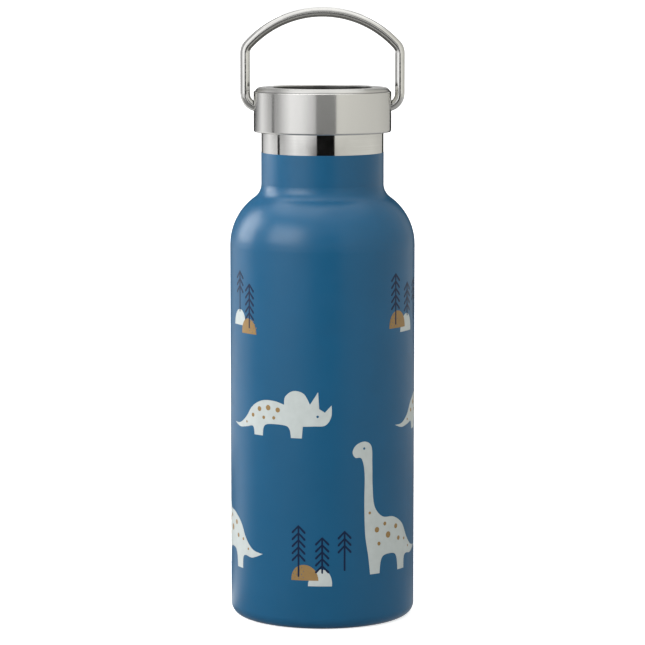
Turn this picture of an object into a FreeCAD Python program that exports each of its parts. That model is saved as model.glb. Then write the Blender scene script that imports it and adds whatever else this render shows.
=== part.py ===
"""Insulated steel drinking bottle for a child, with a screw lid that carries a swinging wire handle.

Millimetres. The origin is the centre of the circle that the bottle stands on, +Z is up the bottle's axis, and X
runs along the handle's pivot. The bottle is two steel vessels, one inside the other, welded together at the mouth,
with a vacuum between them and a powder coat outside. The lid is a plastic body clad in steel. The plug below it
screws into the inner neck.
"""

import FreeCAD, Part
import math
import os

V = FreeCAD.Vector
UP = V(0, 0, 1)
ORIGIN = V(0, 0, 0)

SHEET = 0.5  # steel sheet of both vessels and of the lid's cladding

# Outer vessel. Its sizes are taken over the powder coat.
BODY_R = 36.5
BASE_FILLET = 4.5
FOOT_R = 29.5  # inner edge of the ring that the bottle stands on
SHOULDER_R = 23.0
SHOULDER_Z = 147.9  # where the straight wall ends
NECK_R = 24.15
NECK_FILLET = 6.5
RIM_Z = 196.5  # top of the mouth
COAT = 0.1  # thickness of the powder coat
COAT_TOP_Z = 184.4
COAT_FOOT_ANGLE = -80  # where the coat ends on the base fillet, just above the floor

# Inner vessel
VACUUM_GAP = 3.2
NECK_GAP = 2.15
INNER_BASE_Z = 8.0
INNER_FILLET = 6.0
INNER_NECK_FILLET = 8.0
INNER_SEAM_Z = 15.0  # weld between the inner wall and its base

# Base
PLATE_Z = 2.2  # underside of the pressed base plate
PORT_R = 0.8  # hole that the air is drawn out of
BEAD_R = 2.2
BEAD_DROP = 0.7
COVER_R = 28.9
COVER_Z = 0.9
COVER_SHEET = 0.4
GETTER_R = 4.0
GETTER_H = 1.6
GETTER_X = 13.0
GETTER_PLAY = 0.1
CLIP_SHEET = 0.3
CLIP_W = 3.0
CLIP_FOOT = 2.5

# Thread between the inner neck and the lid's plug
PITCH = 4.0
RIDGE_FOOT = 2.0  # width of a thread ridge at its root
RIDGE_CREST = 0.9
RIDGE_ROOT = 0.3  # depth to which a ridge is sunk into its wall
NECK_RIDGE_H = 0.9
NECK_RIDGE_TURNS = 1.5
NECK_RIDGE_Z = 187.6  # height at which the middle of the ridge starts
PLUG_RIDGE_H = 1.2
PLUG_RIDGE_TURNS = 1.75
PLUG_RIDGE_Z = 186.0

# Lid
CAP_R = 27.1
CAP_BOTTOM_Z = 192.4
CAP_CURL = 0.7  # outer radius of the sleeve's curled lower edge
CAP_LIP_R = 25.4  # inner edge of that curl
CAP_SEAM_Z = 208.3  # top of the sleeve, where it meets the top plate
SLEEVE_EDGE = 0.25  # outer radius of the sleeve's upper edge
CAP_TOP_Z = 209.9
CAP_HOLE_R = 3.0
CROWN_FLAT_R = 24.4  # outer edge of the flat ring on the top plate
TOP_SKIRT = 1.9
DISH_R = 19.5
DISH_DEPTH = 1.7
DISH_EDGE = 0.5  # outer radius of the dish's rim
DISH_CORNER = 0.25  # inner radius at the foot of its wall
FIT = 0.04  # gap between pieces that are bonded or pressed together
SKIRT_IN_R = 24.7
SKIRT_BOTTOM_Z = 193.0
FLANGE_Z = 197.7  # face of the lid's body that presses on the gasket
DECK_Z = 206.0
BOSS_R = 16.0
CHAMFER = 0.5
PLUG_R = 19.4
PLUG_WALL = 2.2
PLUG_BOTTOM_Z = 184.2
PLUG_TOP_Z = 204.6
DISC_FLANGE_H = 3.0
FOAM_GAP = 0.1
GASKET_IN_R = 19.7
GASKET_OUT_R = 23.9
GASKET_GAP = 0.05
GASKET_BEAD = 0.25  # height of the gasket's raised bead
GASKET_BEAD_W = 1.8

# Handle
WIRE_R = 1.9
LEG_X = 30.4
PIVOT_Z = 202.2
LOWER_BEND = 5.2
CORNER_BEND = 4.8
ARCH_R = 39.6
ARCH_TOP_Z = 239.3  # all of these are to the middle of the wire
PIN_TIP_X = 20.7
PIN_ROUND = 0.5
BUSH_IN_X = 20.4
BUSH_OUT_X = 24.2
BUSH_R = 3.0
BUSH_CLEARANCE = 0.05

PLUG_CAVITY_R = PLUG_R - PLUG_WALL
PLUG_CAVITY_Z = PLUG_TOP_Z - PLUG_WALL
DISH_Z = CAP_TOP_Z - DISH_DEPTH


def at(radius, z):
    """A point of a profile, in the XZ plane."""
    return V(radius, 0, z)


def line(a, b):
    return Part.LineSegment(a, b).toShape()


def arc(centre, radius, start, end):
    """The arc about centre from start to end, angles in degrees from +X towards +Z."""

    def point(angle):
        a = math.radians(angle)
        return centre + V(radius * math.cos(a), 0, radius * math.sin(a))

    return Part.Arc(point(start), point((start + end) / 2), point(end)).toShape()


def ends(piece):
    if isinstance(piece, V):
        return piece, piece
    return piece.valueAt(piece.FirstParameter), piece.valueAt(piece.LastParameter)


def backwards(pieces):
    """The same points and arcs in the opposite order."""

    def flipped(edge):
        start, end = ends(edge)
        middle = edge.valueAt((edge.FirstParameter + edge.LastParameter) / 2)
        return Part.Arc(end, middle, start).toShape()

    return [p if isinstance(p, V) else flipped(p) for p in reversed(pieces)]


def outline(pieces):
    """A closed wire through points and arcs in order, with straight lines between them."""
    edges = []
    for piece, following in zip(pieces, pieces[1:] + pieces[:1]):
        if not isinstance(piece, V):
            edges.append(piece)
        here, there = ends(piece)[1], ends(following)[0]
        if here.distanceToPoint(there) > 1e-6:
            edges.append(line(here, there))
    return Part.Wire(edges)


def outward(solid):
    return solid if solid.Volume > 0 else solid.reversed()


def turned(pieces):
    """The solid that a closed profile makes round the Z axis."""
    return outward(Part.Face(outline(pieces)).revolve(ORIGIN, UP, 360))


def thread_ridge(wall_r, height, turns, start_z):
    """A right-handed helical ridge of trapezium section. A negative height is a ridge inside a bore."""
    root_r = wall_r - math.copysign(RIDGE_ROOT, height)
    crest_r = wall_r + height
    section = outline(
        [
            at(root_r, start_z - RIDGE_FOOT / 2),
            at(crest_r, start_z - RIDGE_CREST / 2),
            at(crest_r, start_z + RIDGE_CREST / 2),
            at(root_r, start_z + RIDGE_FOOT / 2),
        ]
    )
    helix = Part.makeHelix(PITCH, PITCH * turns, wall_r)
    helix.translate(at(0, start_z))
    return outward(Part.Wire(helix.Edges).makePipeShell([section], True, True))


class Vessel:
    """The profile of one vessel: base fillet, straight wall, round shoulder, neck fillet and neck.

    Each surface of the vessel is this profile moved inwards, and its arcs keep their centres.
    """

    def __init__(self, body_r, base_z, base_fillet, shoulder_r, neck_r, neck_fillet):
        self.body_r, self.neck_r = body_r, neck_r
        self.base_fillet, self.shoulder_r, self.neck_fillet = base_fillet, shoulder_r, neck_fillet
        self.base = at(body_r - base_fillet, base_z + base_fillet)
        self.shoulder = at(body_r - shoulder_r, SHOULDER_Z)
        reach = shoulder_r + neck_fillet
        across = neck_r + neck_fillet - self.shoulder.x
        self.slope = math.degrees(math.acos(across / reach))
        self.neck = self.shoulder + at(across, math.sqrt(reach**2 - across**2))

    def foot(self, inset, start=-90, end=0):
        return [arc(self.base, self.base_fillet - inset, start, end)]

    def side(self, inset, top_z):
        return [
            arc(self.shoulder, self.shoulder_r - inset, 0, self.slope),
            arc(self.neck, self.neck_fillet + inset, 180 + self.slope, 180),
            at(self.neck_r - inset, top_z),
        ]


OUTER = Vessel(BODY_R, 0, BASE_FILLET, SHOULDER_R, NECK_R, NECK_FILLET)
INNER = Vessel(
    BODY_R - COAT - SHEET - VACUUM_GAP,
    INNER_BASE_Z,
    INNER_FILLET,
    SHOULDER_R - COAT - SHEET - VACUUM_GAP,
    NECK_R - COAT - SHEET - NECK_GAP,
    INNER_NECK_FILLET,
)


def outer_shell():
    """The outer steel vessel, set back by the coat's thickness except where it stands."""
    outside = OUTER.foot(COAT, COAT_FOOT_ANGLE) + OUTER.side(COAT, RIM_Z - SHEET)
    inside = OUTER.foot(COAT + SHEET) + OUTER.side(COAT + SHEET, RIM_Z - SHEET)
    bare_foot = OUTER.foot(0, -90, COAT_FOOT_ANGLE)
    return turned(
        [at(FOOT_R, 0)] + bare_foot + outside + backwards(inside) + [at(FOOT_R, COAT + SHEET)]
    )


def powder_coat():
    outside = OUTER.foot(0, COAT_FOOT_ANGLE) + OUTER.side(0, COAT_TOP_Z)
    inside = OUTER.foot(COAT, COAT_FOOT_ANGLE) + OUTER.side(COAT, COAT_TOP_Z)
    return turned(outside + backwards(inside))


def inner_vessel():
    """The inner wall from its weld to the mouth, where it turns outwards over the outer vessel's neck."""
    lip_r = NECK_R - COAT
    lip_z = RIM_Z - 2 * SHEET
    mouth = at(INNER.neck_r + SHEET, lip_z)
    lip = [
        arc(mouth, SHEET, 180, 90),
        at(lip_r, RIM_Z - SHEET),
        arc(at(lip_r - SHEET, RIM_Z - SHEET), SHEET, 0, 90),
        arc(mouth, 2 * SHEET, 90, 180),
    ]
    wall = turned(
        [at(INNER.body_r, INNER_SEAM_Z)]
        + INNER.side(0, lip_z)
        + lip
        + backwards(INNER.side(SHEET, lip_z))
        + [at(INNER.body_r - SHEET, INNER_SEAM_Z)]
    )
    bore_r = INNER.neck_r - SHEET
    return wall.fuse(thread_ridge(bore_r, -NECK_RIDGE_H, NECK_RIDGE_TURNS, NECK_RIDGE_Z))


def inner_base():
    return turned(
        [at(0, INNER_BASE_Z)]
        + INNER.foot(0)
        + [at(INNER.body_r, INNER_SEAM_Z), at(INNER.body_r - SHEET, INNER_SEAM_Z)]
        + backwards(INNER.foot(SHEET))
        + [at(0, INNER_BASE_Z + SHEET)]
    )


def outer_base():
    """The pressed plate that closes the outer vessel, with its port and a turned-down rim."""
    rim_r = FOOT_R - SHEET
    return turned(
        [
            at(PORT_R, PLATE_Z),
            at(rim_r, PLATE_Z),
            at(rim_r, 0),
            at(FOOT_R, 0),
            arc(at(rim_r, PLATE_Z), SHEET, 0, 90),
            at(PORT_R, PLATE_Z + SHEET),
        ]
    )


def vacuum_seal():
    """The bead of glass solder that fills the port."""
    dome_r = (BEAD_R**2 + BEAD_DROP**2) / (2 * BEAD_DROP)
    spread = math.degrees(math.asin(BEAD_R / dome_r))
    return turned(
        [
            arc(at(0, PLATE_Z - BEAD_DROP + dome_r), dome_r, -90, -90 + spread),
            at(PORT_R, PLATE_Z),
            at(PORT_R, PLATE_Z + SHEET),
            at(0, PLATE_Z + SHEET),
        ]
    )


def base_cover():
    """The thin pan under the bottle, whose rim is bonded to the base plate."""
    inner_r = COVER_R - COVER_SHEET
    floor_z = COVER_Z + COVER_SHEET
    return turned(
        [
            at(0, COVER_Z),
            arc(at(inner_r, floor_z), COVER_SHEET, -90, 0),
            at(COVER_R, PLATE_Z),
            at(inner_r, PLATE_Z),
            at(inner_r, floor_z),
            at(0, floor_z),
        ]
    )


def getter_pellet():
    return Part.makeCylinder(GETTER_R, GETTER_H, V(GETTER_X, 0, INNER_BASE_Z - GETTER_H))


def getter_clip():
    """The strap that holds the pellet, with its two feet welded under the inner base."""
    room = GETTER_R + GETTER_PLAY
    wall = room + CLIP_SHEET
    foot = wall + CLIP_FOOT
    roof_z = -GETTER_H - CLIP_SHEET
    corners = [
        (-foot, 0),
        (-foot, -CLIP_SHEET),
        (-wall, -CLIP_SHEET),
        (-wall, roof_z),
        (wall, roof_z),
        (wall, -CLIP_SHEET),
        (foot, -CLIP_SHEET),
        (foot, 0),
        (room, 0),
        (room, -GETTER_H),
        (-room, -GETTER_H),
        (-room, 0),
    ]
    strip = outline([V(GETTER_X + x, -CLIP_W / 2, INNER_BASE_Z + z) for x, z in corners])
    return outward(Part.Face(strip).extrude(V(0, CLIP_W, 0)))


def pivot_bores(radius, from_x):
    """Two cylinders on the pivot, one on each side, from from_x outwards."""
    length = CAP_R + 1 - from_x
    return [
        Part.makeCylinder(radius, length, V(side * from_x, 0, PIVOT_Z), V(side, 0, 0))
        for side in (-1, 1)
    ]


def cap_sleeve():
    """The brushed band round the lid, curled in at its lower edge."""
    curl = at(CAP_R - CAP_CURL, CAP_BOTTOM_Z + CAP_CURL)
    band = turned(
        [
            at(CAP_LIP_R, CAP_BOTTOM_Z),
            arc(curl, CAP_CURL, -90, 0),
            arc(at(CAP_R - SLEEVE_EDGE, CAP_SEAM_Z - SLEEVE_EDGE), SLEEVE_EDGE, 0, 90),
            at(CAP_R - SHEET, CAP_SEAM_Z),
            arc(curl, CAP_CURL - SHEET, 0, -90),
            at(CAP_LIP_R, CAP_BOTTOM_Z + SHEET),
        ]
    )
    return band.cut(pivot_bores(CAP_HOLE_R, BUSH_OUT_X))


def cap_top_plate():
    """The top of the lid: a rounded shoulder, a flat ring and a shallow dish, on a skirt inside the sleeve."""
    skirt_r = CAP_R - SHEET - FIT / 2
    skirt_z = CAP_SEAM_Z - TOP_SKIRT
    run, rise = skirt_r - CROWN_FLAT_R, CAP_TOP_Z - CAP_SEAM_Z
    crown_r = (run**2 + rise**2) / (2 * rise)
    crown = at(CROWN_FLAT_R, CAP_TOP_Z - crown_r)
    outer_angle = math.degrees(math.acos(run / crown_r))
    inner_angle = math.degrees(math.acos((run - SHEET) / (crown_r - SHEET)))
    return turned(
        [
            at(0, DISH_Z),
            arc(at(DISH_R - DISH_CORNER, DISH_Z + DISH_CORNER), DISH_CORNER, -90, 0),
            arc(at(DISH_R + DISH_EDGE, CAP_TOP_Z - DISH_EDGE), DISH_EDGE, 180, 90),
            arc(crown, crown_r, 90, outer_angle),
            at(skirt_r, skirt_z),
            at(skirt_r - SHEET, skirt_z),
            arc(crown, crown_r - SHEET, inner_angle, 90),
            at(DISH_R + SHEET, CAP_TOP_Z - SHEET),
            at(DISH_R + SHEET, DISH_Z - SHEET),
            at(0, DISH_Z - SHEET),
        ]
    )


def cap_body():
    """The lid's plastic body: a skirt round the neck, a flange over it, and a boss under the top plate."""
    outer_r = CAP_R - SHEET - FIT
    boss_z = DISH_Z - SHEET
    body = turned(
        [
            at(PLUG_R + FIT, FLANGE_Z),
            at(SKIRT_IN_R, FLANGE_Z),
            at(SKIRT_IN_R, SKIRT_BOTTOM_Z),
            at(outer_r - CHAMFER, SKIRT_BOTTOM_Z),
            at(outer_r, SKIRT_BOTTOM_Z + CHAMFER),
            at(outer_r, DECK_Z),
            at(BOSS_R, DECK_Z),
            at(BOSS_R, boss_z),
            at(0, boss_z),
            at(0, PLUG_TOP_Z),
            at(PLUG_R + FIT, PLUG_TOP_Z),
        ]
    )
    return body.cut(pivot_bores(BUSH_R, BUSH_IN_X))


def cap_plug():
    """The threaded cup that screws into the neck, open below until the disc closes it."""
    cup = turned(
        [
            at(PLUG_CAVITY_R, PLUG_BOTTOM_Z),
            at(PLUG_R - CHAMFER, PLUG_BOTTOM_Z),
            at(PLUG_R, PLUG_BOTTOM_Z + CHAMFER),
            at(PLUG_R, PLUG_TOP_Z),
            at(0, PLUG_TOP_Z),
            at(0, PLUG_CAVITY_Z),
            at(PLUG_CAVITY_R, PLUG_CAVITY_Z),
        ]
    )
    return cup.fuse(thread_ridge(PLUG_R, PLUG_RIDGE_H, PLUG_RIDGE_TURNS, PLUG_RIDGE_Z))


def plug_disc():
    """The steel disc that closes the plug, with a flange pressed into the plug's cavity."""
    flange_r = PLUG_CAVITY_R - FIT
    flange_z = PLUG_BOTTOM_Z + DISC_FLANGE_H
    return turned(
        [
            at(0, PLUG_BOTTOM_Z - SHEET),
            arc(at(PLUG_R - 2 * SHEET, PLUG_BOTTOM_Z), SHEET, -90, 0),
            at(flange_r, PLUG_BOTTOM_Z),
            at(flange_r, flange_z),
            at(flange_r - SHEET, flange_z),
            at(flange_r - SHEET, PLUG_BOTTOM_Z),
            at(0, PLUG_BOTTOM_Z),
        ]
    )


def plug_foam():
    low = PLUG_BOTTOM_Z + FOAM_GAP
    high = PLUG_CAVITY_Z - FOAM_GAP
    return Part.makeCylinder(PLUG_CAVITY_R - FIT - SHEET - FOAM_GAP, high - low, at(0, low))


def sealing_gasket():
    """The silicone ring between the mouth and the lid's flange, with a raised bead where it seals."""
    low = RIM_Z + GASKET_GAP
    face = low + GASKET_BEAD
    high = FLANGE_Z - GASKET_GAP
    middle = (GASKET_IN_R + GASKET_OUT_R) / 2
    return turned(
        [
            at(GASKET_IN_R, face),
            at(middle - GASKET_BEAD_W / 2, face),
            at(middle - GASKET_BEAD_W / 4, low),
            at(middle + GASKET_BEAD_W / 4, low),
            at(middle + GASKET_BEAD_W / 2, face),
            at(GASKET_OUT_R, face),
            at(GASKET_OUT_R, high),
            at(GASKET_IN_R, high),
        ]
    )


def bail_bush(side):
    """A nylon bush that lines one pivot hole of the lid's body."""
    start = V(side * BUSH_IN_X, 0, PIVOT_Z)
    length = BUSH_OUT_X - BUSH_IN_X
    outer = Part.makeCylinder(BUSH_R, length, start, V(side, 0, 0))
    return outer.cut(Part.makeCylinder(WIRE_R + BUSH_CLEARANCE, length, start, V(side, 0, 0)))


def bail_handle():
    """The wire handle: an arch on two straight legs, turned in below to make the pivot pins."""
    arch = at(0, ARCH_TOP_Z - ARCH_R)
    corner_x = LEG_X - CORNER_BEND
    corner_reach = ARCH_R - CORNER_BEND
    lean = math.degrees(math.acos(corner_x / corner_reach))
    corner_z = arch.z + math.sqrt(corner_reach**2 - corner_x**2)
    bend_x, bend_z = LEG_X - LOWER_BEND, PIVOT_Z + LOWER_BEND
    path = [
        line(at(-PIN_TIP_X, PIVOT_Z), at(-bend_x, PIVOT_Z)),
        arc(at(-bend_x, bend_z), LOWER_BEND, 270, 180),
        line(at(-LEG_X, bend_z), at(-LEG_X, corner_z)),
        arc(at(-corner_x, corner_z), CORNER_BEND, 180, 180 - lean),
        arc(arch, ARCH_R, 180 - lean, lean),
        arc(at(corner_x, corner_z), CORNER_BEND, lean, 0),
        line(at(LEG_X, corner_z), at(LEG_X, bend_z)),
        arc(at(bend_x, bend_z), LOWER_BEND, 0, -90),
        line(at(bend_x, PIVOT_Z), at(PIN_TIP_X, PIVOT_Z)),
    ]
    section = Part.Wire(Part.makeCircle(WIRE_R, at(-PIN_TIP_X, PIVOT_Z), V(-1, 0, 0)))
    wire = outward(Part.Wire(path).makePipeShell([section], True, False))
    tips = [e for e in wire.Edges if e.Closed and abs(abs(e.CenterOfMass.x) - PIN_TIP_X) < 1e-3]
    return wire.makeFillet(PIN_ROUND, tips)


PARTS = {
    "outer_shell": outer_shell,
    "powder_coat": powder_coat,
    "outer_base": outer_base,
    "vacuum_seal": vacuum_seal,
    "base_cover": base_cover,
    "inner_vessel": inner_vessel,
    "inner_base": inner_base,
    "getter_pellet": getter_pellet,
    "getter_clip": getter_clip,
    "sealing_gasket": sealing_gasket,
    "cap_sleeve": cap_sleeve,
    "cap_top_plate": cap_top_plate,
    "cap_body": cap_body,
    "cap_plug": cap_plug,
    "plug_disc": plug_disc,
    "plug_foam": plug_foam,
    "bail_bush_left": lambda: bail_bush(-1),
    "bail_bush_right": lambda: bail_bush(1),
    "bail_handle": bail_handle,
}


def main():
    os.makedirs("parts", exist_ok=True)
    for name, make in PARTS.items():
        shape = make()
        print(f"{name}: valid {shape.isValid()}, solids {len(shape.Solids)}, {shape.Volume:.1f} mm3")
        shape.exportStep(f"parts/{name}.step")


main()
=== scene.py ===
"""Looks of the insulated steel bottle: steel, plastic and powder coat on the CAD nodes, the printed
pattern as three layers of ink, and a white studio. Metres, except for the print, which is drawn in
millimetres. Angles round the bottle are degrees from its front, to the right."""

import math

import bmesh
import bpy
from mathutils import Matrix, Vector
from mathutils.geometry import tessellate_polygon

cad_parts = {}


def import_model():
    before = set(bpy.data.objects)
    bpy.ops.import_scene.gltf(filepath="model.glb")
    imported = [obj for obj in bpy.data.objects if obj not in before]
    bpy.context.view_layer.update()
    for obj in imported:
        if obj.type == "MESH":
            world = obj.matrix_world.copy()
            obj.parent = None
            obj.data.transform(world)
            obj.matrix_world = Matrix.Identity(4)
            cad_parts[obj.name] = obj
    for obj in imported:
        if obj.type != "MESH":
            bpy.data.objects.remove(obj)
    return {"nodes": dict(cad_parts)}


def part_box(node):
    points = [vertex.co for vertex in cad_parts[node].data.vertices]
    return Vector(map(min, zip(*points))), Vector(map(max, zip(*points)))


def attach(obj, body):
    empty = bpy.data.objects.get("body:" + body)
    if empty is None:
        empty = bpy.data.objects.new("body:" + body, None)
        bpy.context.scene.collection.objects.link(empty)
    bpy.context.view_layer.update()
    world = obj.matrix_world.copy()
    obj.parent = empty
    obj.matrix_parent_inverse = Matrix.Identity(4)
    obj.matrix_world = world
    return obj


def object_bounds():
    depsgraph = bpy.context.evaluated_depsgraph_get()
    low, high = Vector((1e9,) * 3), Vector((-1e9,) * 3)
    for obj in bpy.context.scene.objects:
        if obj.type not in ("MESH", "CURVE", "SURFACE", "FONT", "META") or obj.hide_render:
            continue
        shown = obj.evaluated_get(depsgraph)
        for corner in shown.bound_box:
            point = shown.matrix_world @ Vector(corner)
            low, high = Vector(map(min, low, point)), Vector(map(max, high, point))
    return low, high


MM = 0.001

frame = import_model()
cad_low, cad_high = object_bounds()
nodes = frame["nodes"]

BODY_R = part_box("powder_coat")[1].x
LID_SEAM_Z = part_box("cap_sleeve")[1].z
LID_TOP_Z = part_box("cap_top_plate")[1].z
DISH_RIM_R = 20 * MM  # where the flat ring of the lid's top begins to turn down into the dish


# ---------------------------------------------------------------- materials


class Shader:
    """A material around one Principled shader, with short helpers for its node tree."""

    def __init__(self, name, color, roughness, metallic=0.0, **sockets):
        self.material = bpy.data.materials.new(name)
        self.material.use_nodes = True
        self.tree = self.material.node_tree
        self.shader = self.tree.nodes["Principled BSDF"]
        self.color = (*color, 1.0)
        self.shader.inputs["Base Color"].default_value = self.color
        self.shader.inputs["Roughness"].default_value = roughness
        self.shader.inputs["Metallic"].default_value = metallic
        self.roughness = roughness
        for socket, value in sockets.items():
            self.shader.inputs[socket.replace("_", " ")].default_value = value
        self.position = self.node("ShaderNodeTexCoord").outputs["Object"]

    def node(self, kind, inputs=(), **settings):
        made = self.tree.nodes.new(kind)
        for setting, value in settings.items():
            setattr(made, setting, value)
        for socket, value in dict(inputs).items():
            if isinstance(value, bpy.types.NodeSocket):
                self.tree.links.new(value, made.inputs[socket])
            else:
                made.inputs[socket].default_value = value
        return made

    def link(self, output, socket):
        self.tree.links.new(output, self.shader.inputs[socket])

    def stretched(self, x, y, z):
        """The object's coordinates with each axis scaled, so that a texture on them has a grain."""
        mapping = self.node("ShaderNodeMapping", {"Vector": self.position, "Scale": (x, y, z)})
        return mapping.outputs["Vector"]

    def flat(self):
        """The object's coordinates with no height."""
        level = self.node("ShaderNodeVectorMath", {0: self.position, 1: (1, 1, 0)}, operation="MULTIPLY")
        return level.outputs[0]

    def radius(self):
        """The distance from the Z axis."""
        length = self.node("ShaderNodeVectorMath", {0: self.flat()}, operation="LENGTH")
        return length.outputs["Value"]

    def about_axis(self, radial, around):
        """Coordinates for grooves turned about Z: distance from the axis, changing slowly around it."""
        groove = self.node("ShaderNodeCombineXYZ", {"Z": self.product(self.radius(), radial)})
        slow = self.node("ShaderNodeVectorMath", {0: self.flat(), "Scale": around}, operation="SCALE")
        parts = {0: slow.outputs[0], 1: groove.outputs[0]}
        return self.node("ShaderNodeVectorMath", parts, operation="ADD").outputs[0]

    def product(self, a, b):
        return self.node("ShaderNodeMath", {0: a, 1: b}, operation="MULTIPLY").outputs[0]

    def noise(self, scale, vector=None, detail=3.0, roughness=0.5):
        return self.node(
            "ShaderNodeTexNoise",
            {"Vector": vector or self.position, "Scale": scale, "Detail": detail, "Roughness": roughness},
        ).outputs["Fac"]

    def spread(self, value, low, high, from_low=0.3, from_high=0.7):
        """value, which is mostly between from_low and from_high, spread over low to high."""
        return self.node(
            "ShaderNodeMapRange",
            {"Value": value, "From Min": from_low, "From Max": from_high, "To Min": low, "To Max": high},
        ).outputs["Result"]

    def mottle(self, value, amount):
        """Darkens and lightens the base colour by amount."""
        shades = self.node("ShaderNodeMix", data_type="RGBA")
        for socket, factor in ((shades.inputs[6], 1 - amount), (shades.inputs[7], 1 + amount)):
            socket.default_value = (*(min(c * factor, 1.0) for c in self.color[:3]), 1.0)
        self.tree.links.new(self.spread(value, 0, 1), shades.inputs[0])
        self.link(shades.outputs[2], "Base Color")

    def darken(self, mask, amount):
        """Multiplies the base colour by amount where mask is 1."""
        base = self.shader.inputs["Base Color"].links[0].from_socket
        made = self.node("ShaderNodeMix", data_type="RGBA", blend_type="MULTIPLY")
        self.tree.links.new(mask, made.inputs[0])
        self.tree.links.new(base, made.inputs[6])
        made.inputs[7].default_value = (amount, amount, amount, 1.0)
        self.link(made.outputs[2], "Base Color")

    def worn(self, value, spread):
        """Varies the roughness by spread either way."""
        self.link(self.spread(value, self.roughness - spread, self.roughness + spread), "Roughness")

    def bump(self, height, depth):
        """depth is the height of the bumps in metres."""
        bump = self.node("ShaderNodeBump", {"Height": height, "Distance": depth, "Strength": 1.0})
        self.link(bump.outputs["Normal"], "Normal")

    def brushed(self, amount):
        """Stretches highlights across brush marks that run round the Z axis."""
        self.shader.inputs["Anisotropic"].default_value = amount
        self.shader.inputs["Anisotropic Rotation"].default_value = 0.25
        tangent = self.node("ShaderNodeTangent", direction_type="RADIAL", axis="Z")
        self.link(tangent.outputs["Tangent"], "Tangent")


def powder_coat():
    """Its roughness stays over 0.28, because the denoiser leaves dark specks where it crosses 0.27."""
    coat = Shader("blue powder coat", (0.0037, 0.079, 0.173), 0.315, Specular_IOR_Level=0.36)
    coat.mottle(coat.noise(45, detail=4.0), 0.04)
    coat.worn(coat.noise(160, detail=3.0), 0.025)
    coat.bump(coat.noise(900, detail=1.0), 1.5e-6)
    return coat.material


def brushed_band():
    """Fine marks round the band: they smear reflections up and down, and not from side to side."""
    steel = Shader("brushed steel band", (0.64, 0.635, 0.61), 0.2, 1.0)
    marks = steel.noise(1.0, steel.stretched(300, 300, 12000), detail=4.0, roughness=0.6)
    steel.mottle(marks, 0.03)
    steel.worn(marks, 0.03)
    steel.bump(marks, 4e-7)
    steel.brushed(0.9)
    return steel.material


def brushed_top():
    """Marks turned about the axis on the lid's top plate, with painted shade along the seam with the
    sleeve and on the wall of the dish.
    """
    steel = Shader("brushed steel top", (0.66, 0.655, 0.63), 0.38, 1.0)
    marks = steel.noise(1.0, steel.about_axis(9000, 200), detail=4.0, roughness=0.6)
    steel.mottle(marks, 0.03)
    height = steel.node("ShaderNodeSeparateXYZ", {"Vector": steel.position}).outputs["Z"]
    distance = steel.radius()
    # Painted shade: the base colour is darkened in a thin band just above the seam with the sleeve, where
    # its groove would be in shade.
    seam_shade = steel.spread(height, 1, 0, LID_SEAM_Z + 0.05 * MM, LID_SEAM_Z + 0.35 * MM)
    # Painted shade: the base colour is darkened on the wall of the dish, the recess below the flat ring,
    # where it falls into shade.
    sunk = steel.spread(height, 1, 0, LID_TOP_Z - 0.5 * MM, LID_TOP_Z - 0.1 * MM)
    shade_ring_outer_edge = steel.spread(distance, 1, 0, DISH_RIM_R, DISH_RIM_R + 0.5 * MM)
    shade_ring_inner_edge = steel.spread(distance, 0, 1, DISH_RIM_R - 1.6 * MM, DISH_RIM_R - 1.1 * MM)
    # Both darkenings are painted shade: in the seam, and on the dish's wall.
    steel.darken(seam_shade, 0.25)
    steel.darken(steel.product(sunk, steel.product(shade_ring_outer_edge, shade_ring_inner_edge)), 0.15)
    steel.worn(marks, 0.03)
    steel.bump(marks, 4e-7)
    steel.brushed(0.95)
    return steel.material


def polished_neck():
    """The bare top of the neck: near a mirror, with the faint rings of its polishing."""
    steel = Shader("polished steel neck", (0.64, 0.635, 0.61), 0.07, 1.0)
    marks = steel.noise(1.0, steel.stretched(40, 40, 5000), detail=3.0)
    steel.mottle(marks, 0.03)
    steel.worn(steel.noise(300, detail=4.0), 0.02)
    steel.bump(marks, 2e-7)
    return steel.material


def polished_wire():
    steel = Shader("polished steel wire", (0.62, 0.615, 0.59), 0.1, 1.0)
    steel.mottle(steel.noise(400, detail=4.0), 0.04)
    steel.worn(steel.noise(900, detail=4.0), 0.04)
    steel.bump(steel.noise(2500, detail=3.0), 1e-6)
    return steel.material


def drawn_steel():
    """The unpolished steel inside the bottle and under it."""
    steel = Shader("drawn steel", (0.52, 0.52, 0.51), 0.36, 1.0)
    marks = steel.noise(1.0, steel.stretched(90, 90, 1800), detail=4.0)
    steel.mottle(steel.noise(120, detail=5.0), 0.08)
    steel.worn(marks, 0.07)
    steel.bump(marks, 3e-6)
    return steel.material


def lid_plastic():
    plastic = Shader("black polypropylene", (0.018, 0.018, 0.02), 0.42)
    plastic.mottle(plastic.noise(90, detail=4.0), 0.12)
    plastic.worn(plastic.noise(500), 0.06)
    plastic.bump(plastic.noise(3500, detail=2.0), 8e-6)
    return plastic.material


def bush_nylon():
    milky = {"Subsurface_Weight": 0.2, "Subsurface_Scale": 0.001}
    nylon = Shader("natural nylon", (0.72, 0.7, 0.64), 0.4, **milky)
    nylon.mottle(nylon.noise(300, detail=4.0), 0.05)
    nylon.bump(nylon.noise(4000), 6e-6)
    return nylon.material


def silicone():
    milky = {"Subsurface_Weight": 0.4, "Subsurface_Scale": 0.002}
    rubber = Shader("clear silicone", (0.78, 0.78, 0.75), 0.48, **milky)
    rubber.mottle(rubber.noise(200, detail=4.0), 0.04)
    rubber.bump(rubber.noise(3000), 8e-6)
    return rubber.material


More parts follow.
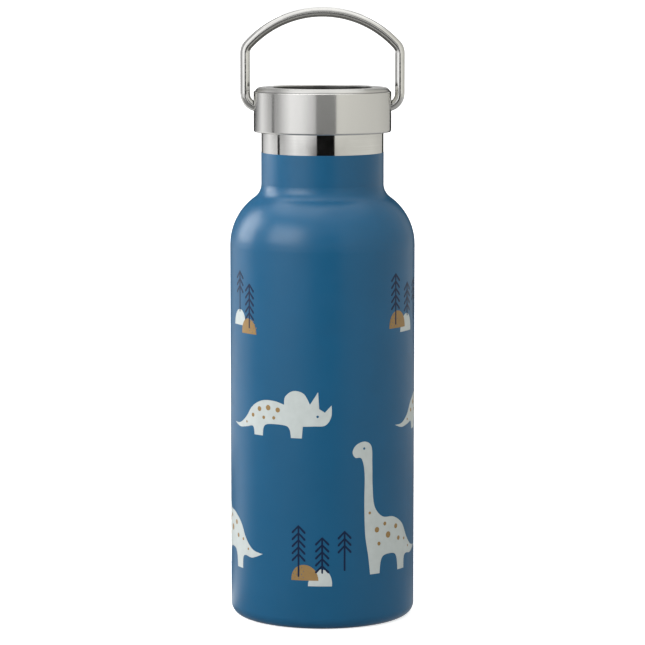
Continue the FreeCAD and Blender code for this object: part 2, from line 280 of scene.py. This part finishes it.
def foam():
    bead = Shader("white foam", (0.83, 0.83, 0.8), 0.9)
    cells = bead.node("ShaderNodeTexVoronoi", {"Vector": bead.position, "Scale": 700.0})
    bead.mottle(cells.outputs["Distance"], 0.06)
    bead.bump(cells.outputs["Distance"], 1e-4)
    return bead.material


def solder_glass():
    glass = Shader("dark solder glass", (0.03, 0.032, 0.035), 0.12)
    glass.mottle(glass.noise(900, detail=4.0), 0.2)
    glass.bump(glass.noise(1500), 1e-5)
    return glass.material


def getter_metal():
    metal = Shader("sintered getter", (0.12, 0.12, 0.125), 0.7, 0.6)
    metal.mottle(metal.noise(2500, detail=5.0), 0.25)
    metal.bump(metal.noise(4000, detail=4.0), 3e-5)
    return metal.material


def ink(name, color, roughness):
    """Screen ink, a little duller than the coat, with the faint unevenness of the layer."""
    layer = Shader(name, color, roughness, Specular_IOR_Level=0.25)
    layer.mottle(layer.noise(350, detail=5.0), 0.04)
    layer.worn(layer.noise(700, detail=3.0), 0.04)
    layer.bump(layer.noise(1800, detail=3.0), 3e-6)
    return layer.material


def dress_nodes():
    wear = {
        powder_coat: ["powder_coat"],
        brushed_band: ["cap_sleeve"],
        brushed_top: ["cap_top_plate"],
        polished_neck: ["outer_shell"],
        polished_wire: ["bail_handle"],
        drawn_steel: [
            "inner_vessel", "inner_base", "outer_base", "base_cover", "plug_disc", "getter_clip",
        ],
        lid_plastic: ["cap_body", "cap_plug"],
        bush_nylon: ["bail_bush_left", "bail_bush_right"],
        silicone: ["sealing_gasket"],
        foam: ["plug_foam"],
        solder_glass: ["vacuum_seal"],
        getter_metal: ["getter_pellet"],
    }
    for make, names in wear.items():
        material = make()
        for name in names:
            mesh = nodes[name].data
            mesh.materials.clear()
            mesh.materials.append(material)


# ---------------------------------------------------------------- the print
# Drawn flat, in millimetres: x along the wall, z above the floor. A shape is a list of closed outlines,
# and its second and later outlines are holes in it.

REPEATS = 3  # the dinosaurs and the low trees come round this many times
STRIP = 1.5  # widest flat facet of ink along the wall


def curve(points):
    """A closed smooth line through points. A point with a third value is a sharp corner."""
    steps = 6  # from one point to the next
    count = len(points)
    line = []
    for i, here in enumerate(points):
        following = points[(i + 1) % count]
        a, b = Vector(here[:2]), Vector(following[:2])
        start = Vector((0, 0)) if len(here) > 2 else (b - Vector(points[i - 1][:2])) / 2
        end = Vector((0, 0)) if len(following) > 2 else (Vector(points[(i + 2) % count][:2]) - a) / 2
        straight = len(here) > 2 and len(following) > 2
        for step in range(1 if straight else steps):
            t = step / steps
            line.append(
                (2 * t**3 - 3 * t**2 + 1) * a
                + (t**3 - 2 * t**2 + t) * start
                + (3 * t**2 - 2 * t**3) * b
                + (t**3 - t**2) * end
            )
    return line


def dot(x, z, radius, sides=14):
    turns = [i * (2 * math.pi / sides) for i in range(sides)]
    return [Vector((x + radius * math.cos(t), z + radius * math.sin(t))) for t in turns]


def fir(x, foot, height, boughs):
    """A fir drawn with a pen: a trunk, and pairs of drooping boughs from the top down."""
    step, reach = 2.75, 2.7  # down to the next pair of boughs, and out to a bough's tip
    drop = reach * 0.98
    trunk, pen = 0.36, 0.95  # half the trunk's width, and the height of a bough's stroke
    top = foot + height
    side = [(0, top + 0.35)]
    for i in range(boughs):
        z = top - i * step
        side += [
            (trunk, z),
            (reach, z - drop + trunk),
            (reach + 0.1, z - drop - pen * 0.3),
            (reach - 0.45, z - drop - pen * 0.45),
            (trunk, z - pen),
        ]
    side += [(trunk, foot + 0.1), (trunk * 0.6, foot - 0.15)]
    right = [Vector((x + dx, z)) for dx, z in side]
    left = [Vector((x - dx, z)) for dx, z in reversed(side[1:])]
    return [right + left]


def mound(x, foot, width, height, lean, dots=()):
    """A low hill with a flat foot, and the coat showing through a few dots."""
    half, steps = width / 2, 18
    turns = [math.pi * i / steps for i in range(steps + 1)]
    arc = [
        Vector((x - half * math.cos(t) + lean * math.sin(t), foot + height * math.sin(t) ** 0.9))
        for t in turns
    ]
    return [arc] + [dot(x + dx, foot + dz, 0.2, 6) for dx, dz in dots]


HILL_DOTS = [
    (0.6, 1.2), (2.4, 0.9), (4.1, 1.1), (1.3, 2.4), (3.2, 2.3), (4.6, 2.6),
    (0.5, 3.6), (2.2, 3.8), (3.7, 3.9), (1.2, 5.1), (2.7, 5.2),
]

LONG_NECK = [
    (0.8, 48.9), (2.4, 51.6), (6.0, 52.7), (8.9, 50.6), (9.3, 44.0), (9.5, 34.0), (10.5, 26.6),
    (14.4, 22.4), (20.4, 21.6), (26.2, 18.2), (30.2, 12.2), (34.6, 8.4), (40.0, 7.4, 1), (34.2, 5.2),
    (30.0, 5.6), (28.0, 4.4), (27.7, 0.0, 1), (23.2, 0.0, 1), (22.6, 4.8), (20.6, 7.0), (15.4, 7.0),
    (13.5, 4.8), (12.9, 0.0, 1), (8.4, 0.0, 1), (7.6, 7.0), (6.2, 16.0), (5.8, 28.0), (5.9, 40.0),
    (4.6, 46.0), (1.9, 46.6),
]
LONG_NECK_SPOTS = [
    (11.6, 17.4, 1.1), (15.6, 19.4, 0.8), (17.4, 14.8, 1.3), (22.0, 17.6, 1.0), (23.8, 12.6, 0.9),
    (12.6, 11.8, 0.8), (28.0, 11.8, 0.6), (31.6, 8.3, 0.5), (8.2, 24.4, 0.6),
]

HORNED = [
    (0.0, 3.4, 1), (4.6, 3.6), (9.2, 6.4), (13.2, 11.0), (18.6, 13.8), (24.4, 14.0), (28.8, 12.8, 1),
    (29.2, 16.0), (32.6, 18.4), (36.8, 17.4), (39.2, 13.2, 1), (42.4, 18.2, 1), (42.8, 11.6, 1),
    (45.0, 10.2, 1), (47.6, 13.0, 1), (47.5, 8.6), (45.2, 5.2), (40.6, 4.8), (36.4, 4.6, 1),
    (36.0, 0.0, 1), (31.6, 0.0, 1), (31.0, 3.4), (28.8, 4.8), (21.8, 4.8), (19.4, 3.4), (18.9, 0.0, 1),
    (14.4, 0.0, 1), (13.6, 3.2), (9.6, 2.6), (4.6, 2.0),
]
HORNED_SPOTS = [
    (13.6, 7.6, 0.8), (17.2, 10.4, 1.0), (21.6, 11.2, 1.1), (26.0, 10.6, 1.0), (19.4, 7.2, 0.7),
    (24.2, 7.4, 0.7), (9.6, 4.5, 0.5),
]


def animal(outline, eye, spots, angle, foot):
    """A white animal with its eye left open to the coat, and ochre spots. Each is (x, z, radius)."""
    shapes = {"white": [[curve(outline), dot(*eye)]], "ochre": [[dot(*spot)] for spot in spots]}
    return {layer: shifted(drawn, along(angle), foot) for layer, drawn in shapes.items()}


def long_neck(angle, foot):
    return animal(LONG_NECK, (5.7, 50.0, 0.5), LONG_NECK_SPOTS, angle, foot)


def horned(angle, foot):
    return animal(HORNED, (42.2, 8.6, 0.5), HORNED_SPOTS, angle, foot)


def shifted(shapes, x, z):
    move = Vector((x, z))
    return [[[point + move for point in outline] for outline in shape] for shape in shapes]


def wood(ochre_hill, white_hill, trees):
    """Hills and firs. A hill is (angle, foot, width, height), a fir (angle, foot, height, boughs)."""
    side = -1 if white_hill[0] > ochre_hill[0] else 1  # dots only on the side away from the white hill
    dots = [(side * dx, dz) for dx, dz in HILL_DOTS]
    return {
        "white": [mound(along(white_hill[0]), *white_hill[1:], 0.5)],
        "ochre": [mound(along(ochre_hill[0]), *ochre_hill[1:], -0.3, dots)],
        "navy": [fir(along(angle), *rest) for angle, *rest in trees],
    }


def along(angle):
    """Millimetres along the wall from the front of the bottle, to the right."""
    return math.radians(angle) * BODY_R / MM


def pattern():
    groups = []
    for turn in range(0, 360, 360 // REPEATS):
        groups += [
            long_neck(turn + 17.4, 21.4),
            horned(turn - 69.2, 75.8),
            wood(
                (turn - 10.9, 19.9, 10.8, 6.2),
                (turn - 1.6, 17.7, 9.4, 6.7),
                [(turn - 14.8, 21.4, 20.0, 5), (turn - 0.2, 22.9, 14.0, 5), (turn + 13.6, 23.8, 15.4, 3)],
            ),
        ]
    return groups + [
        wood(
            (-52, 115.0, 9.2, 6.0),
            (-62.6, 117.9, 9.0, 6.2),
            [(-51.3, 117.3, 17.1, 5), (-62, 123.2, 15.8, 3)],
        ),
        wood(
            (53.6, 117.3, 10.4, 6.8),
            (63.4, 115.4, 9.2, 7.0),
            [(51.3, 118.8, 19.7, 5), (65.2, 121.5, 12.9, 4), (78, 119.4, 15.9, 3)],
        ),
        wood(
            (186, 115.4, 10.6, 6.6),
            (175.6, 117.6, 9.0, 6.4),
            [(188, 117.0, 18.6, 5), (175, 122.4, 15.4, 4), (161, 118.8, 16.2, 3)],
        ),
    ]


def inked_shape(shape):
    """One shape as a flat sheet cut into strips, with its faces towards -Y."""
    mesh = bmesh.new()
    flat = [[Vector((p.x, 0, p.y)) for p in outline] for outline in shape]
    corners = [mesh.verts.new(p) for outline in flat for p in outline]
    for triangle in tessellate_polygon(flat):
        mesh.faces.new([corners[i] for i in triangle])
    low, high = min(v.co.x for v in mesh.verts), max(v.co.x for v in mesh.verts)
    for i in range(math.ceil(low / STRIP), math.floor(high / STRIP) + 1):
        everything = mesh.verts[:] + mesh.edges[:] + mesh.faces[:]
        bmesh.ops.bisect_plane(mesh, geom=everything, plane_co=(i * STRIP, 0, 0), plane_no=(1, 0, 0))
    bmesh.ops.recalc_face_normals(mesh, faces=mesh.faces)
    if sum(face.normal.y * face.calc_area() for face in mesh.faces) > 0:
        bmesh.ops.reverse_faces(mesh, faces=mesh.faces)
    return mesh


def inked(name, shapes, color, roughness, height):
    """Wraps flat shapes round the wall as a thin closed layer of ink, proud of the coat by height."""
    sunk = 0.07  # how far the layer's hidden face lies inside the coat
    verts, faces, normals = [], [], []
    for shape in shapes:
        sheet = inked_shape(shape)
        grown = bmesh.ops.extrude_face_region(sheet, geom=sheet.faces[:])
        for vertex in (v for v in grown["geom"] if isinstance(v, bmesh.types.BMVert)):
            vertex.co.y = -1  # marks the outer face
        sheet.verts.index_update()
        offset = len(verts)
        for v in sheet.verts:
            radius = BODY_R + (height if v.co.y < -0.5 else -sunk) * MM
            angle = v.co.x * MM / BODY_R
            verts.append((radius * math.sin(angle), -radius * math.cos(angle), v.co.z * MM))
        faces += [[offset + v.index for v in face.verts] for face in sheet.faces]
        sheet.free()
    mesh = bpy.data.meshes.new(name)
    mesh.from_pydata(verts, [], faces)
    mesh.update()
    for polygon in mesh.polygons:
        outside = all(Vector(verts[i][:2]).length > BODY_R for i in polygon.vertices)
        for i in polygon.vertices:
            radial = Vector((verts[i][0], verts[i][1], 0)).normalized()
            normals.append(radial if outside else polygon.normal)
    mesh.polygons.foreach_set("use_smooth", [True] * len(mesh.polygons))
    mesh.normals_split_custom_set(normals)
    mesh.materials.append(ink(name.replace("_", " "), color, roughness))
    piece = bpy.data.objects.new(name, mesh)
    bpy.context.scene.collection.objects.link(piece)
    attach(piece, "bottle")


def print_pattern():
    layers = {"white": [], "ochre": [], "navy": []}
    for group in pattern():
        for layer, shapes in group.items():
            layers[layer] += shapes
    inked("print_white", layers["white"], (0.45, 0.49, 0.478), 0.4, 0.02)
    inked("print_ochre", layers["ochre"], (0.265, 0.165, 0.062), 0.4, 0.03)
    inked("print_navy", layers["navy"], (0.002, 0.012, 0.042), 0.36, 0.04)


# ---------------------------------------------------------------- studio

CAMERA_DISTANCE = 1.189  # from the bottle's axis
CAMERA_HEIGHT = 0.2616
CAMERA_PITCH = 6.95  # degrees below the horizon
CAMERA_VIEW = 12.2  # degrees across the picture

SCREEN_DISTANCE = 0.9
GAP_DISTANCE = 0.88  # the cards that close a gap between two screens, just in front of them
FLAG_DISTANCE = 0.8
RING_STEP = 5  # degrees across one facet of a screen
CARD_Z = -0.0003  # between the floor and the dim floor
DIM_FLOOR_Z = -0.0005
AIM_Z = cad_high.z * 0.6  # what the softboxes face
FLOOR_R = 12
BACKDROP_R = 14
WHITE = (1.0, 1.0, 1.0)


def camera():
    data = bpy.data.cameras.new("camera")
    data.angle = math.radians(CAMERA_VIEW)
    data.clip_start, data.clip_end = 0.05, 60
    obj = bpy.data.objects.new("camera", data)
    bpy.context.scene.collection.objects.link(obj)
    obj.location = (0, -CAMERA_DISTANCE, CAMERA_HEIGHT)
    obj.rotation_euler = (math.radians(90 - CAMERA_PITCH), 0, 0)
    bpy.context.scene.camera = obj


def glow(name, color):
    """A light-giving material, as bright as the mesh's own attribute says."""
    material = bpy.data.materials.new(name)
    material.use_nodes = True
    tree = material.node_tree
    tree.nodes.remove(tree.nodes["Principled BSDF"])
    emission = tree.nodes.new("ShaderNodeEmission")
    emission.inputs["Color"].default_value = (*color, 1.0)
    brightness = tree.nodes.new("ShaderNodeAttribute")
    brightness.attribute_name = "brightness"
    tree.links.new(brightness.outputs["Fac"], emission.inputs["Strength"])
    tree.links.new(emission.outputs[0], tree.nodes["Material Output"].inputs["Surface"])
    return material


def ring(name, stops, start, end, color=WHITE):
    """Part of a ring round the bottle that gives light and is not seen by the camera.

    It runs from start to end, each a radius and a height, and its stops are (angle, brightness)."""
    verts, faces, levels = [], [], []
    for (a, level_a), (b, level_b) in zip(stops, stops[1:]):
        pieces = max(1, math.ceil(abs(b - a) / RING_STEP))
        for k in range(pieces + 1):
            share = k / pieces
            angle = math.radians(a + (b - a) * share)
            for radius, z in (start, end):
                verts.append((radius * math.sin(angle), -radius * math.cos(angle), z))
                levels.append(level_a + (level_b - level_a) * share)
            if k:
                i = len(verts)
                faces.append((i - 4, i - 2, i - 1, i - 3))
    mesh = bpy.data.meshes.new(name)
    mesh.from_pydata(verts, [], faces)
    mesh.attributes.new("brightness", "FLOAT", "POINT").data.foreach_set("value", levels)
    mesh.materials.append(glow(name, color))
    obj = bpy.data.objects.new(name, mesh)
    bpy.context.scene.collection.objects.link(obj)
    obj.visible_camera = False
    obj.visible_shadow = False
    return obj


def screen(name, stops, heights, distance=SCREEN_DISTANCE, color=WHITE):
    """A curved screen that stands round the bottle, between two heights."""
    bottom, top = heights
    ring(name, stops, (distance, bottom), (distance, top), color)


def card(name, stops, inner, outer, z):
    """A level card round the bottle, seen only in reflections."""
    ring(name, stops, (inner, z), (outer, z)).visible_diffuse = False


def softbox(name, angle, elevation, distance, width, height, brightness, shaded=()):
    """A rectangular light that faces the bottle. It doesn't light the nodes named in shaded."""
    data = bpy.data.lights.new(name, "AREA")
    data.shape = "RECTANGLE"
    data.size, data.size_y = width, height
    data.energy = brightness * math.pi * width * height
    obj = bpy.data.objects.new(name, data)
    bpy.context.scene.collection.objects.link(obj)
    a, e = math.radians(angle), math.radians(elevation)
    away = Vector((math.sin(a) * math.cos(e), -math.cos(a) * math.cos(e), math.sin(e)))
    obj.location = Vector((0, 0, AIM_Z)) + away * distance
    obj.rotation_euler = away.to_track_quat("Z", "Y").to_euler()
    obj.visible_camera = False
    if shaded:
        left_out = bpy.data.collections.new(name + "_shaded")
        obj.light_linking.receiver_collection = left_out
        for node in shaded:
            left_out.objects.link(nodes[node])
        for member in left_out.collection_objects:
            member.light_linking.link_state = "EXCLUDE"
    return obj


def fill(name, angle, elevation, distance, size, brightness):
    """A square softbox with no reflection of its own."""
    softbox(name, angle, elevation, distance, size, size, brightness).visible_glossy = False


def disc(name, z, radius, material):
    mesh = bpy.data.meshes.new(name)
    plane = bmesh.new()
    bmesh.ops.create_circle(plane, cap_ends=True, segments=96, radius=radius)
    bmesh.ops.translate(plane, verts=plane.verts, vec=(0, 0, z))
    plane.to_mesh(mesh)
    plane.free()
    mesh.materials.append(material)
    obj = bpy.data.objects.new(name, mesh)
    bpy.context.scene.collection.objects.link(obj)
    return obj


def floor():
    """A white floor for the camera, over a dim one that the bottle reflects and is lit by."""
    pale = Shader("pale floor", (0.8, 0.8, 0.8), 0.9)
    pale.mottle(pale.noise(8), 0.01)
    pale.shader.inputs["Emission Color"].default_value = (1, 1, 1, 1)
    pale.shader.inputs["Emission Strength"].default_value = 0.7
    seen = disc("floor", 0, FLOOR_R, pale.material)
    seen.visible_glossy = seen.visible_diffuse = False
    dim = Shader("dim floor", (0.7, 0.7, 0.7), 0.9)
    dim.mottle(dim.noise(8), 0.01)
    reflected = disc("dim_floor", DIM_FLOOR_Z, FLOOR_R, dim.material)
    reflected.visible_camera = reflected.visible_shadow = False


def backdrop(brightness):
    """A wall all round, far behind everything, that only the camera sees."""
    mesh = bpy.data.meshes.new("backdrop")
    dome = bmesh.new()
    bmesh.ops.create_uvsphere(dome, u_segments=48, v_segments=24, radius=BACKDROP_R)
    dome.to_mesh(mesh)
    dome.free()
    levels = mesh.attributes.new("brightness", "FLOAT", "POINT")
    levels.data.foreach_set("value", [brightness] * len(mesh.vertices))
    mesh.materials.append(glow("backdrop", WHITE))
    obj = bpy.data.objects.new("backdrop", mesh)
    bpy.context.scene.collection.objects.link(obj)
    obj.visible_diffuse = obj.visible_glossy = obj.visible_transmission = obj.visible_shadow = False


def world(brightness):
    made = bpy.data.worlds.new("studio")
    bpy.context.scene.world = made
    made.use_nodes = True
    background = made.node_tree.nodes["Background"]
    background.inputs["Color"].default_value = (1, 1, 1, 1)
    background.inputs["Strength"].default_value = brightness


def screens():
    """What the bottle reflects from its sides, in a low band for the neck and a high one for the lid."""
    cool, warm = (1.0, 1.0, 1.02), (1.0, 0.99, 0.94)
    neck_band, lid_band = (0, 0.14), (0.14, 1.2)
    for name, heights, color, stops in (
        (
            "left_screen_low", neck_band, cool,
            [(-87, 0.7), (-75, 0.75), (-53, 1.12), (-33, 0.88), (-15, 0.32), (-10.6, 0.22)],
        ),
        (
            "left_screen", lid_band, cool,
            [(-90, 0.38), (-80, 0.43), (-69, 0.93), (-55, 1.45), (-37, 1.45), (-17, 1.15), (-10.6, 0.95)],
        ),
        (
            "back_left_screen_low", neck_band, cool,
            [(-158, 0.1), (-152, 0.4), (-141, 0.75), (-132, 0.95), (-118, 1.13), (-100, 0.9), (-93, 0.9)],
        ),
        (
            "back_left_screen", lid_band, cool,
            [
                (-156, 0.03), (-146, 0.08), (-138, 0.25), (-131, 0.5), (-125, 0.9), (-119, 1.05),
                (-98, 0.42), (-90, 0.38),
            ],
        ),
        (
            "right_screen_low", neck_band, warm,
            [(22.5, 0.57), (31, 0.7), (55, 0.78), (105, 0.85), (147, 0.62), (152, 0.55)],
        ),
        (
            "right_screen", lid_band, warm,
            [(22.5, 1.18), (31, 1.1), (48, 0.97), (89, 0.77), (133, 0.6), (152, 0.5)],
        ),
    ):
        screen(name, stops, heights, color=color)


def cards():
    """What the coat and the lid's edges reflect from below, and what the lid's top reflects."""
    card(
        "near_card",
        [
            (-180, 0.2), (-150, 0.12), (-138, 0.2), (-128, 0.8), (-119, 1.4), (-110, 1.2), (-99, 0.7),
            (-88, 0.38), (-11, 0.26), (22, 0.28), (35, 0.42), (77, 0.5), (113, 0.48), (140, 0.25),
            (180, 0.2),
        ],
        0.02, 0.4, CARD_Z,
    )
    card(
        "far_card",
        [
            (-180, 0.3), (-157, 0.5), (-148, 1.0), (-125, 1.25), (-100, 0.9), (-88, 0.45), (-11, 0.27),
            (22, 0.28), (35, 0.45), (77, 0.6), (113, 0.75), (135, 0.6), (180, 0.3),
        ],
        0.4, 0.87, CARD_Z,
    )
    card("ceiling_card", [(-180, 1.4), (180, 1.4)], 0.01, 1.1, 1.6)


def plain_screens():
    """Screens of one brightness each: in the gaps between the others, and dark ones at the back."""
    camera_gap = (-10.6, 22.5)
    for name, angles, heights, brightness, distance in (
        ("camera_gap", camera_gap, (0.0, 0.2), 0.005, GAP_DISTANCE),
        ("camera_gap_lid", camera_gap, (0.2, 0.32), 0.95, GAP_DISTANCE),
        ("camera_gap_high", camera_gap, (0.32, 0.6), 0.25, GAP_DISTANCE),
        ("camera_gap_top", camera_gap, (0.6, 1.3), 0.8, GAP_DISTANCE),
        ("left_gap", (-93, -87), (0.0, 0.145), 0.02, GAP_DISTANCE),
        ("back_flag_left", (-168, -157), (0.0, 1.2), 0.02, FLAG_DISTANCE),
        ("back_flag_right", (152, 168), (0.0, 1.2), 0.02, FLAG_DISTANCE),
        ("low_flag_left", (-178, -168), (0.0, 0.3), 0.02, FLAG_DISTANCE),
        ("low_flag_right", (168, 178), (0.0, 0.3), 0.02, FLAG_DISTANCE),
        ("back_screen", (166, 194), (0.2, 1.2), 1.0, 0.95),
    ):
        screen(name, [(angle, brightness) for angle in angles], heights, distance)


def lamps():
    lid_and_handle = ["cap_top_plate", "cap_sleeve", "bail_handle"]
    softbox("left_light", -50, 25, 0.8, 0.6, 0.42, 4.2, lid_and_handle)
    softbox("back_left_light", -113, 19, 0.8, 0.42, 0.48, 5.0, lid_and_handle)
    softbox("ceiling_light", -130, 74, 1.3, 1.3, 1.3, 1.7, ["cap_top_plate", "bail_handle"])
    fill("right_fill", 65, 20, 1.5, 0.8, 1.1)


def studio():
    bpy.context.scene.view_settings.view_transform = "Standard"
    world(0.9)
    floor()
    backdrop(1.05)
    screens()
    cards()
    plain_screens()
    lamps()


dress_nodes()
print_pattern()
camera()
studio()
